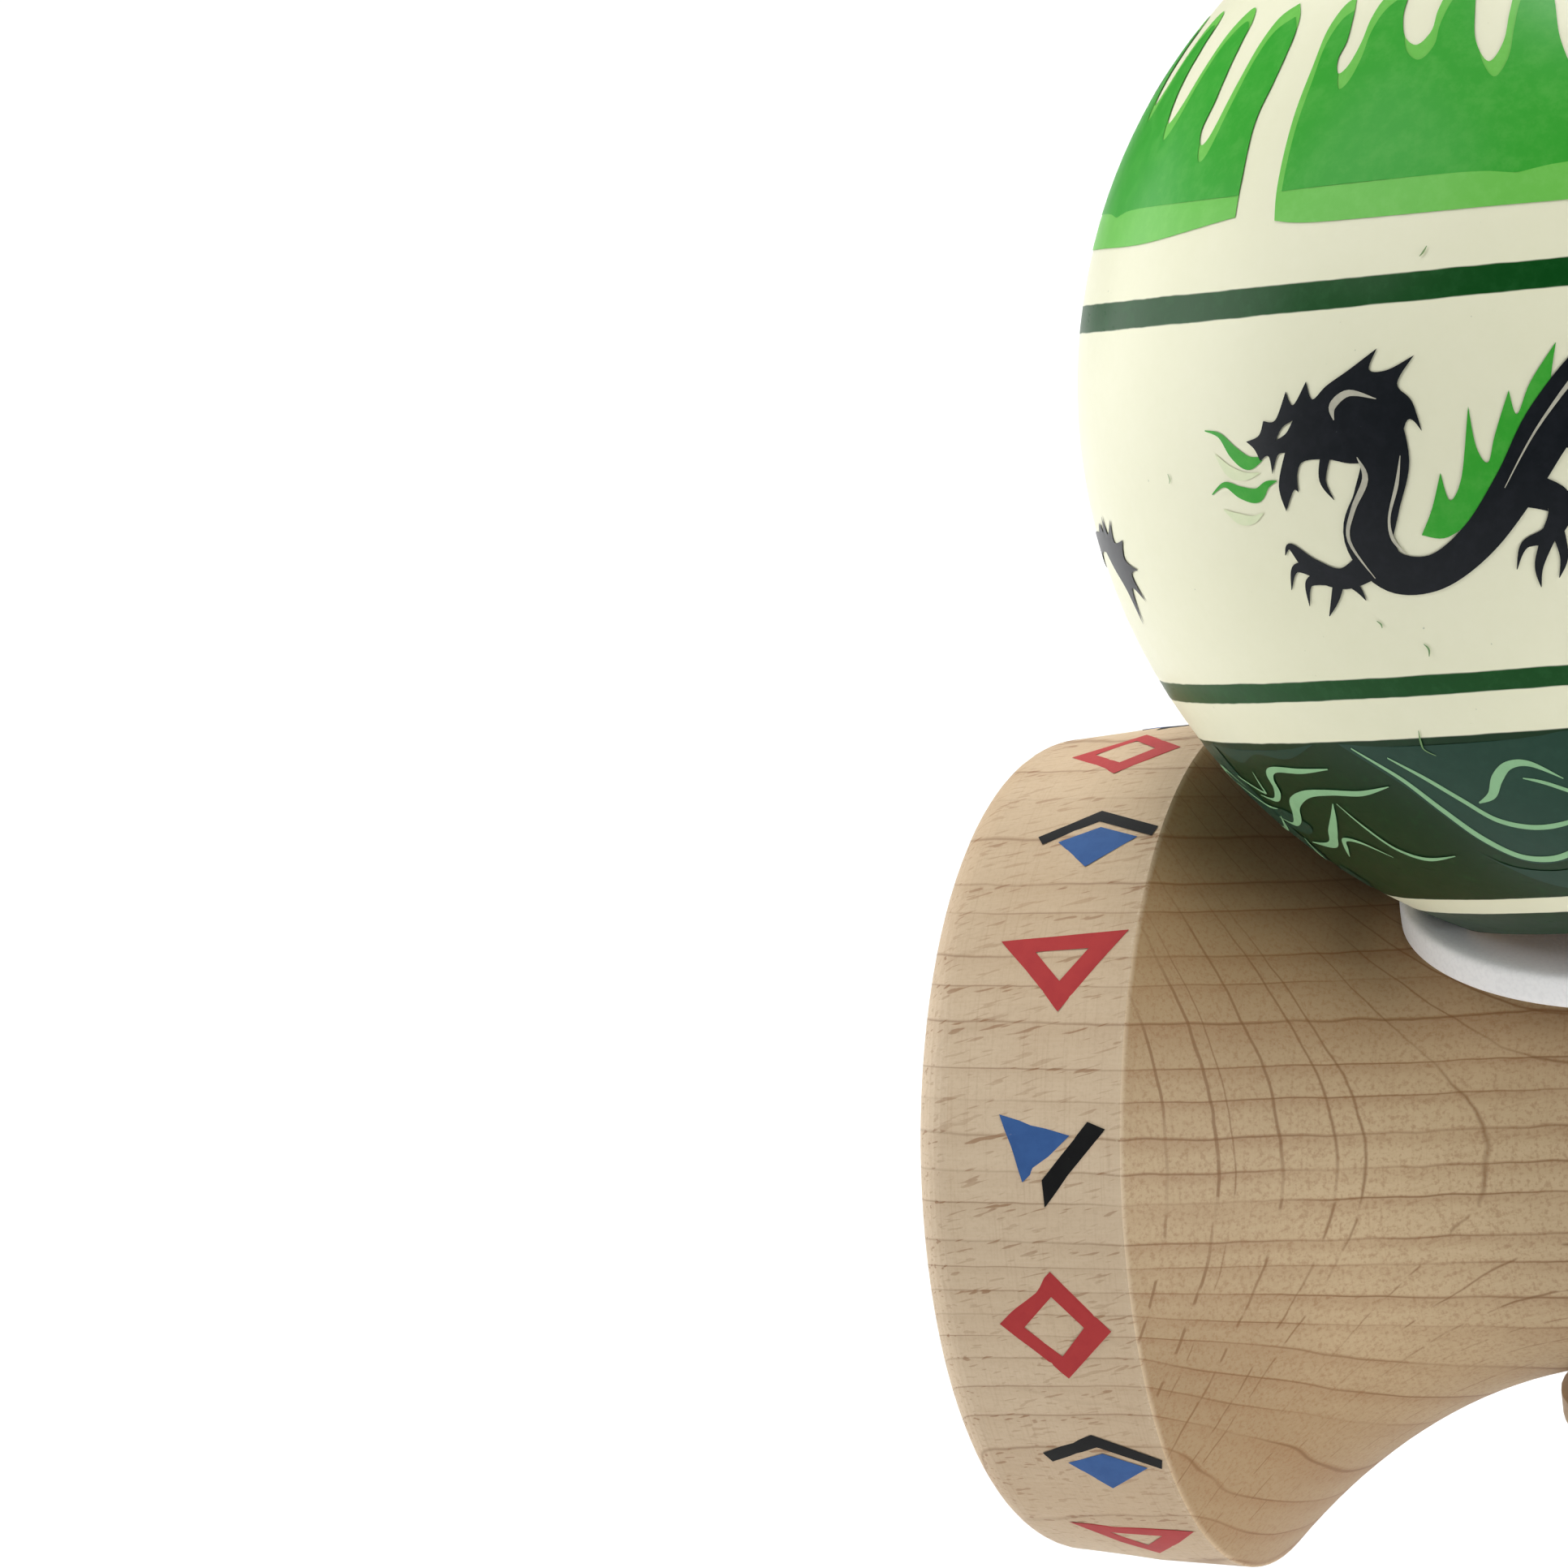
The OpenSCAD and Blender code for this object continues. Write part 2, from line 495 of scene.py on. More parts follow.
@dataclass(frozen=True)
class Lacquer:
    """Cream lacquer with painted dark bands round the ball's own axis, bare wood in its bores."""

    name: str
    centre: tuple[float, float, float]
    axis: tuple[float, float, float]
    radius: float = 30.0
    cream: Colour = tone(238, 237, 212)
    aged: Colour = tone(228, 228, 196)
    band: Colour = tone(10, 70, 22)
    band_light: Colour = tone(30, 86, 40)
    deep: Colour = tone(14, 48, 22)
    wood: Colour = tone(206, 178, 138)
    wood_dark: Colour = tone(150, 112, 74)
    upper_stripe: tuple[float, float] = (5.45, 6.9)
    lower_stripe: tuple[float, float] = (-14.5, -13.35)
    low_band: tuple[float, float] = (-29.7, -17.0)
    foot: tuple[float, float] = (-31.35, -31.45)
    edge_soft: float = 0.05

    def material(self) -> bpy.types.Material:
        """Make the lacquer's nodes.

        Returns:
            The material.
        """
        g = Graph(self.name)
        place = g.vector("SUBTRACT", g.place(), self.centre)
        radius = g.measure("LENGTH", place)
        sine = g.measure("DOT_PRODUCT", place, self.axis) / radius
        wobble = (g.noise(place, 0.5, 2.0) - 0.5) * 0.12
        lat = g.math("ARCSINE", sine) * self.radius + wobble
        mottle = g.noise(place, 1.3, 4.0, 0.65)
        cloud = g.noise(place, 0.09, 2.0)
        colour = g.mix(self.cream, self.aged, cloud * 0.7 + mottle * 0.35)
        stripes = (g.band(lat, *self.upper_stripe, self.edge_soft)
                   | g.band(lat, *self.lower_stripe, self.edge_soft))
        stripe_paint = g.mix(self.band, self.band_light, g.step(mottle, 0.42, 0.75) * 0.55)
        colour = g.mix(colour, stripe_paint, stripes)
        low = g.band(lat, *self.low_band, self.edge_soft) | g.step(lat, *self.foot)
        low_paint = g.mix(self.deep, self.band_light, g.step(mottle, 0.5, 0.9) * 0.35)
        colour = g.mix(colour, low_paint, low)
        speck = g.step(g.noise(place, 2.6, 1.0), 0.8, 0.84)
        colour = g.mix(colour, self.band_light, speck * 0.35)
        bare = g.step(radius, self.radius - 0.1, self.radius - 0.45)
        streak = g.noise(g.vector("MULTIPLY", place, (4.0, 4.0, 0.4)), 1.0, 3.0)
        colour = g.mix(colour, g.mix(self.wood, self.wood_dark, streak * 0.7), bare)
        scuffs = g.noise(g.vector("MULTIPLY", place, (0.9, 0.9, 3.2)), 1.0, 3.0)
        rough = 0.3 + mottle * 0.1 + bare * 0.35 + g.step(scuffs, 0.62, 0.8) * 0.12
        orange_peel = g.noise(place, 1.6, 2.0)
        return g.finish(Base_Color=colour, Roughness=rough, Coat_Weight=(1.0 - bare) * 0.06,
                        Coat_Roughness=0.18, Specular_IOR_Level=0.12,
                        Normal=g.bump(orange_peel, 0.012, 0.35))


@dataclass(frozen=True)
class Ink:
    """Printed ink: an even colour with slight mottling, and tiny gaps that show what is below."""

    name: str
    colour: Colour
    second: Colour
    patch: float = 0.5
    gloss: float = 0.3
    coat: float = 0.06
    shine: float = 0.12
    bare: Optional[Colour] = None
    wear: float = 0.0

    def material(self) -> bpy.types.Material:
        """Make the ink's nodes.

        Returns:
            The material.
        """
        g = Graph(self.name)
        place = g.place()
        mottle = g.noise(place, 0.9, 4.0, 0.7)
        colour = g.mix(self.colour, self.second, g.step(mottle, 0.38, 0.72) * self.patch)
        if self.bare is not None:
            gaps = g.noise(place, 3.4, 3.0, 0.6)
            colour = g.mix(colour, self.bare, g.step(gaps, 0.72, 0.82) * self.wear)
        return g.finish(Base_Color=colour, Roughness=self.gloss + mottle * 0.1,
                        Coat_Weight=self.coat, Coat_Roughness=0.2,
                        Specular_IOR_Level=self.shine, Normal=g.bump(mottle, 0.01, 0.25))


@dataclass(frozen=True)
class Foam:
    """Matt white closed-cell foam."""

    name: str
    white: Colour = tone(251, 251, 250)
    grey: Colour = tone(238, 238, 238)

    def material(self) -> bpy.types.Material:
        """Make the foam's nodes.

        Returns:
            The material.
        """
        g = Graph(self.name)
        place = g.place()
        cells = g.node("ShaderNodeTexVoronoi", {"feature": "F1"}, {"Vector": place, "Scale": 4.5})
        cell = Value(g, cells.outputs["Distance"])
        cloud = g.noise(place, 0.5, 3.0)
        colour = g.mix(self.white, self.grey, cloud * 0.5 + g.step(cell, 0.45, 0.8) * 0.35)
        return g.finish(Base_Color=colour, Roughness=0.85 + cloud * 0.1,
                        Specular_IOR_Level=0.2, Normal=g.bump(cell, 0.03, 0.5))


@dataclass(frozen=True)
class Paper:
    """Plain pale floor."""

    name: str
    tint: Colour = (0.93, 0.93, 0.93)
    shade: Colour = (0.9, 0.9, 0.9)

    def material(self) -> bpy.types.Material:
        """Make the floor's nodes.

        Returns:
            The material.
        """
        g = Graph(self.name)
        fleck = g.noise(g.place(), 0.02, 2.0)
        colour = g.mix(self.tint, self.shade, fleck * 0.4)
        return g.finish(Base_Color=colour, Roughness=0.9, Specular_IOR_Level=0.1)


# -------------------------------------------------------------------------- drawing


def spline(points: Sequence[Point], steps: int = 8) -> list[tuple[float, ...]]:
    """Points of a smooth open curve through control points.

    Args:
        points: Control points of any one size.
        steps: Points made for each span.

    Returns:
        The curve's points, ends included.
    """
    p = [np.array(q, float) for q in points]
    out = []
    for i in range(len(p) - 1):
        a, b, c, d = p[max(i - 1, 0)], p[i], p[i + 1], p[min(i + 2, len(p) - 1)]
        for k in range(steps):
            t = k / steps
            out.append(tuple(0.5 * (2 * b + (c - a) * t + (2 * a - 5 * b + 4 * c - d) * t * t
                                    + (3 * b - a - 3 * c + d) * t ** 3)))
    return out + [tuple(p[-1])]


def outline(points: Sequence[Point], steps: int = 7) -> list[tuple[float, ...]]:
    """A closed shape, smooth but for the control points that have a third number.

    Args:
        points: Control points (x, y), or (x, y, 1) for a sharp corner.
        steps: Points made for each span.

    Returns:
        The shape's points.
    """
    corners = [i for i, p in enumerate(points) if len(p) > 2]
    flat = [p[:2] for p in points]
    n = len(flat)
    if not corners:
        ring = spline([flat[-1]] + flat + flat[:2], steps)
        return ring[steps:-1 - steps]
    out = []
    for a, b in zip(corners, corners[1:] + [corners[0] + n]):
        run = [flat[i % n] for i in range(a, b + 1)]
        out += spline(run, steps)[:-1] if len(run) > 2 else run[:-1]
    return out


def stroke(path: Sequence[Point], steps: int = 8) -> list[tuple[float, float]]:
    """A tapered line as a closed shape.

    Args:
        path: Control points (x, y, half width).
        steps: Points made for each span.

    Returns:
        The shape's points.
    """
    line = np.array(spline(path, steps))
    away = np.gradient(line[:, :2], axis=0)
    away /= np.maximum(np.linalg.norm(away, axis=1), 1e-9)[:, None]
    side = np.stack([-away[:, 1], away[:, 0]], 1) * np.maximum(line[:, 2], 0.02)[:, None]
    left, right = line[:, :2] + side, line[:, :2] - side
    return [tuple(p) for p in left] + [tuple(p) for p in right[::-1]]


def inside(points: np.ndarray, shape: Sequence[Point]) -> np.ndarray:
    """Which points a closed shape winds round.

    Args:
        points: N by 2 array.
        shape: The shape's points.

    Returns:
        N booleans.
    """
    a = np.array(shape, float)[:, :2]
    b = np.roll(a, -1, 0)
    x, y = points[:, :1], points[:, 1:2]
    side = (b[:, 0] - a[:, 0]) * (y - a[:, 1]) - (x - a[:, 0]) * (b[:, 1] - a[:, 1])
    up = (a[:, 1] <= y) & (b[:, 1] > y) & (side > 0)
    down = (a[:, 1] > y) & (b[:, 1] <= y) & (side < 0)
    return (up.sum(1) - down.sum(1)) != 0


@dataclass
class Drawing:
    """Flat printed shapes in millimetres: the union of shapes, less gaps, within limits."""

    shapes: list[list[Point]] = field(default_factory=list)
    gaps: list[list[Point]] = field(default_factory=list)
    limits: list[list[Point]] = field(default_factory=list)

    def fill(self, spacing: float) -> tuple[np.ndarray, list[tuple[int, ...]]]:
        """Triangulate the drawing.

        Args:
            spacing: Distance between the points inside the shapes.

        Returns:
            The points, N by 2, and the triangles.
        """
        loops = self.shapes + self.gaps + self.limits
        every = np.concatenate([np.array(s, float)[:, :2] for s in loops])
        low, high = every.min(0), every.max(0)
        rows = int((high[1] - low[1]) / spacing) + 1
        cols = int((high[0] - low[0]) / spacing) + 1
        grid = np.array([(low[0] + (i + 0.5 * (j % 2) + 0.25) * spacing, low[1] + (j + 0.4) * spacing)
                         for j in range(rows) for i in range(cols)])
        keep = np.zeros(len(grid), bool)
        for shape in self.shapes:
            keep |= inside(grid, shape)
        grid = grid[keep]
        points = [Vector(p) for p in every] + [Vector(p) for p in grid]
        edges, start = [], 0
        for loop in loops:
            n = len(loop)
            edges += [(start + i, start + (i + 1) % n) for i in range(n)]
            start += n
        verts, _, faces, *_ = delaunay_2d_cdt(points, edges, [], 0, 1e-6)
        flat = np.array([v[:] for v in verts])
        tris = np.array([f for f in faces if len(f) == 3])
        middles = flat[tris].mean(1)
        inked = np.zeros(len(tris), bool)
        for shape in self.shapes:
            inked |= inside(middles, shape)
        for gap in self.gaps:
            inked &= ~inside(middles, gap)
        if self.limits:
            within = np.zeros(len(tris), bool)
            for limit in self.limits:
                within |= inside(middles, limit)
            inked &= within
        area = flat[tris]
        cross = ((area[:, 1, 0] - area[:, 0, 0]) * (area[:, 2, 1] - area[:, 0, 1])
                 - (area[:, 2, 0] - area[:, 0, 0]) * (area[:, 1, 1] - area[:, 0, 1]))
        inked &= np.abs(cross) > 1e-7
        chosen = [tuple(t) if c > 0 else tuple(t[::-1]) for t, c in zip(tris[inked], cross[inked])]
        used = sorted({i for t in chosen for i in t})
        index = {old: new for new, old in enumerate(used)}
        return flat[used], [tuple(index[i] for i in t) for t in chosen]


@dataclass(frozen=True)
class BallSkin:
    """The ball's surface, unrolled round its leaned axis: mm of equator, mm of latitude."""

    centre: Vector
    axis: Vector
    radius: float

    def turned(self) -> tuple[Vector, Vector]:
        """The skin's front and right directions, square to its axis.

        Returns:
            The two directions.
        """
        front = Vector((0, -1, 0))
        front = (front - self.axis * front.dot(self.axis)).normalized()
        return front, front.cross(self.axis) * -1

    def lay(self, u: float, v: float, lift: float) -> tuple[Vector, Vector]:
        """Put one flat point on the ball.

        Args:
            u: Millimetres round the ball from the front, towards +X.
            v: Millimetres up from the equator.
            lift: Millimetres above the surface.

        Returns:
            The point in metres, and the surface's normal there.
        """
        front, right = self.turned()
        lon, lat = u / self.radius, v / self.radius
        normal = ((front * math.cos(lon) + right * math.sin(lon)) * math.cos(lat)
                  + self.axis * math.sin(lat))
        return (self.centre + normal * (self.radius + lift)) * MM, normal


@dataclass(frozen=True)
class CupSkin:
    """A cup's band, unrolled: mm from the handle's axis along X, mm round from the front."""

    height: float
    shoulder: float
    side: int
    unroll: float = 23.0
    edge: float = 25.8
    bend: float = 30.8
    slope: float = 0.06
    end_slope: float = 0.5 / 4.4

    def lay(self, u: float, v: float, lift: float) -> tuple[Vector, Vector]:
        """Put one flat point on the band.

        Args:
            u: Millimetres along X, away from the handle.
            v: Millimetres round the band from the front, towards +Z.
            lift: Millimetres above the surface.

        Returns:
            The point in metres, and the surface's normal there.
        """
        slope = self.slope if u < self.bend else self.end_slope
        fall = self.slope * (min(u, self.bend) - self.edge)
        r = self.shoulder - fall - self.end_slope * max(0.0, u - self.bend)
        turn = v / self.unroll
        around = Vector((0.0, -math.cos(turn), math.sin(turn)))
        point = Vector((self.side * u, 0.0, self.height)) + around * (r + lift)
        return point * MM, (around + Vector((self.side * slope, 0, 0))).normalized()


Skin = Union[BallSkin, CupSkin]


def build(name: str, points: Sequence[Any], faces: Iterable[Sequence[int]],
          material: bpy.types.Material,
          normals: Optional[Sequence[Any]] = None) -> bpy.types.Object:
    """Make one mesh object, shaded smooth.

    Args:
        name: The piece's name.
        points: Its points, in metres.
        faces: Its faces.
        material: Its finish.
        normals: A normal for each point, where the mesh's own won't do.

    Returns:
        The object.
    """
    mesh = bpy.data.meshes.new(name)
    mesh.from_pydata([tuple(p) for p in points], [], [tuple(f) for f in faces])
    mesh.polygons.foreach_set("use_smooth", [True] * len(mesh.polygons))
    mesh.materials.append(material)
    if normals is not None:
        mesh.normals_split_custom_set_from_vertices([tuple(n) for n in normals])
    mesh.update()
    piece = bpy.data.objects.new(name, mesh)
    bpy.context.scene.collection.objects.link(piece)
    return piece


def print_film(name: str, drawing: Drawing, skin: Skin, layer: Layer,
               material: bpy.types.Material, shifts: Sequence[tuple[float, float]],
               spacing: float = 1.1) -> bpy.types.Object:
    """Lay a drawing on a surface as a thin film, once for each shift.

    Args:
        name: The piece's name.
        drawing: What is printed.
        skin: The surface it lies on.
        layer: How high above the surface it lies.
        material: Its ink.
        shifts: Where each copy goes, in millimetres on the skin.
        spacing: Distance between inner points.

    Returns:
        The film.
    """
    flat, faces = drawing.fill(spacing)
    points, normals, tris = [], [], []
    mirrored = isinstance(skin, CupSkin) and skin.side > 0
    for du, dv in shifts:
        start = len(points)
        for u, v in flat:
            point, normal = skin.lay(u + du, v + dv, layer.value)
            points.append(point)
            normals.append(normal)
        tris += [tuple(start + i for i in (f[::-1] if mirrored else f)) for f in faces]
    first = tris[0]
    a, b, c = (points[i] for i in first)
    if (b - a).cross(c - a).dot(normals[first[0]]) < 0:
        tris = [t[::-1] for t in tris]
    return build(name, points, tris, material, normals)


# -------------------------------------------------------------------- sub-assemblies


@dataclass
class Handle:
    """The turned handle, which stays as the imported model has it."""

    node: str = "ken"

    def dress(self) -> None:
        """Give the handle its wood, with the grain along its length."""
        wood = Beech("beech_handle", Grain.ALONG_Z, pitch=2.6)
        paint_node(self.node, wood.material())
        LOG.info("handle dressed")


@dataclass
class Barrel:
    """The cross barrel with two cups, each with a band of small printed figures."""

    node: str = "sarado"
    body: str = "barrel"
    height: float = 112.0
    shoulders: tuple[float, float] = (23.0, 21.2)
    edge: float = 25.8
    unroll: float = 23.0
    turns: tuple[float, ...] = (0.0, 92.6, 180.5, -92.0)

    def figures(self) -> dict[str, Drawing]:
        """One repeat of the band's figures by ink: mm from the axis, mm round the band.

        Returns:
            The drawings of the red, blue and black inks.
        """
        k = math.radians(self.unroll)
        red = Drawing(
            [[(30.1, 1.4 * k), (27.1, -6.8 * k), (30.0, -14.2 * k), (33.4, -6.4 * k)],
             [(33.4, -46.0 * k), (26.2, -45.3 * k), (29.6, -56.7 * k)]],
            [[(30.2, -2.1 * k), (28.6, -6.4 * k), (30.1, -10.8 * k), (32.0, -6.7 * k)],
             [(31.3, -48.0 * k), (28.3, -47.8 * k), (29.7, -52.4 * k)]])
        blue = Drawing(
            [[(31.5, -29.6 * k), (29.3, -27.2 * k), (27.0, -29.6 * k), (29.5, -34.6 * k)],
             [(32.6, -70.3 * k), (28.6, -73.2 * k), (31.3, -79.3 * k)]])
        black = Drawing(
            [[(32.8, -28.1 * k), (29.6, -23.7 * k), (26.0, -27.8 * k), (26.2, -29.6 * k),
              (29.5, -26.0 * k), (32.4, -29.7 * k)],
             [(27.6, -71.4 * k), (26.6, -72.4 * k), (30.1, -82.6 * k), (30.2, -79.0 * k)]])
        return {"red": red, "blue": blue, "black": black}

    def dress(self) -> None:
        """Give the barrel its wood and print both bands."""
        wood = Beech("beech_barrel", Grain.ALONG_X, middle=(0.0, 0.0, self.height),
                     edge_at=self.edge)
        paint_node(self.node, wood.material())
        inks = {
            "red": Ink("ink_red", tone(174, 58, 58), tone(160, 50, 54), coat=0.0, gloss=0.5,
                       bare=tone(214, 176, 146), wear=0.35),
            "blue": Ink("ink_blue", tone(58, 94, 150), tone(48, 80, 132), coat=0.0, gloss=0.5,
                        bare=tone(180, 170, 160), wear=0.35),
            "black": Ink("ink_black", tone(20, 20, 21), tone(28, 30, 28), coat=0.0, gloss=0.45,
                         bare=tone(120, 104, 84), wear=0.25),
        }
        shifts = [(0.0, math.radians(turn) * self.unroll) for turn in self.turns]
        for cup, side, shoulder in zip(("big", "small"), (-1, 1), self.shoulders):
            skin = CupSkin(self.height, shoulder, side, self.unroll, self.edge)
            for ink, drawing in self.figures().items():
                film = print_film(f"{cup}_cup_{ink}_figures", drawing, skin, Layer.FIRST,
                                  inks[ink].material(), shifts, 0.8)
                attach(film, self.body)
            LOG.info("%s cup's figures printed", cup)


@dataclass
class Washer:
    """The soft foam ring, bent over the barrel and squeezed where the ball presses."""

    node: str = "washer"
    body: str = "ring"
    barrel_height: float = 112.0
    waist: float = 11.8
    shoulders: tuple[float, float] = (23.0, 21.2)
    inner: float = 8.15
    outer: float = 15.6
    thick: float = 1.9
    ball: tuple[float, float, float] = (0.1, 0.95, 153.12)
    ball_axis: tuple[float, float, float] = (-0.048231, 0.193446, 0.979925)
    ball_radius: float = 30.0
    mouth: float = 27.45
    gap: float = 0.22
    straight: float = 3.0
    reach: float = 22.8
    swell: float = 2.2
    mouth_radius: float = 12.2
    mouth_slope: float = 0.4
    lift: float = 0.25
    bow: float = 180.0
    droop: float = 72.0
    spring: float = 0.4
    clear: float = 0.08

    def over(self, x: float, y: float) -> float:
        """Height of the barrel's upper side.

        Args:
            x: Millimetres along the barrel.
            y: Millimetres back.

        Returns:
            The height in millimetres.
        """
        u = max(0.0, abs(x) - self.straight) / self.reach
        shoulder = self.shoulders[0] if x < 0 else self.shoulders[1]
        r = self.waist + (shoulder - self.waist) * u ** self.swell
        return self.barrel_height + math.sqrt(max(0.0, r * r - y * y))

    def under(self, x: float, y: float) -> float:
        """Height of the ball's lower side.

        Args:
            x: Millimetres along the barrel.
            y: Millimetres back.

        Returns:
            The height in millimetres.
        """
        a, b = self.ball_axis, self.ball
        c = [b[i] - self.mouth * a[i] for i in range(3)]
        dx, dy = x - c[0], y - c[1]
        within = max(0.0, self.mouth_radius - math.hypot(dx, dy))
        rim = c[2] - (a[0] * dx + a[1] * dy) / a[2] + self.mouth_slope * within
        drop = self.ball_radius ** 2 - (x - b[0]) ** 2 - (y - b[1]) ** 2
        return max(rim, b[2] - math.sqrt(drop))

    def height(self, x: float, y: float, share: float) -> float:
        """Height in the foam over a point, from share 0 at its lower side to 1 at its upper.

        Args:
            x: Millimetres along the barrel.
            y: Millimetres back.
            share: 0 for the foam's lower side, 1 for its upper.

        Returns:
            The height in millimetres.
        """
        free = (self.barrel_height + self.waist + self.lift + self.thick + x * x / self.bow
                - max(0.0, y) ** 2 / self.droop)
        top = min(free, self.under(x, y) - self.gap)
        low = max(min(free, top + self.spring) - self.thick, self.over(x, y) + self.clear)
        return low + (top - low) * share

    def dress(self) -> None:
        """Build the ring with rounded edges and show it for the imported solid."""
        around, section = 240, 44
        middle, half = (self.inner + self.outer) / 2, (self.outer - self.inner) / 2
        points = []
        for i in range(around):
            a = 2 * math.pi * i / around
            for j in range(section):
                s = 2 * math.pi * j / section
                r = middle + half * math.copysign(abs(math.cos(s)) ** 0.16, math.cos(s))
                share = 0.5 + 0.5 * math.copysign(abs(math.sin(s)) ** 0.42, math.sin(s))
                x, y = r * math.cos(a), r * math.sin(a)
                points.append((x * MM, y * MM, self.height(x, y, share) * MM))
        faces = [(i * section + j, (i + 1) % around * section + j,
                  (i + 1) % around * section + (j + 1) % section, i * section + (j + 1) % section)
                 for i in range(around) for j in range(section)]
        ring = build("foam_ring", points, faces, Foam("foam_white").material())
        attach(ring, self.body)
        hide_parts(self.node)
        LOG.info("foam ring built")


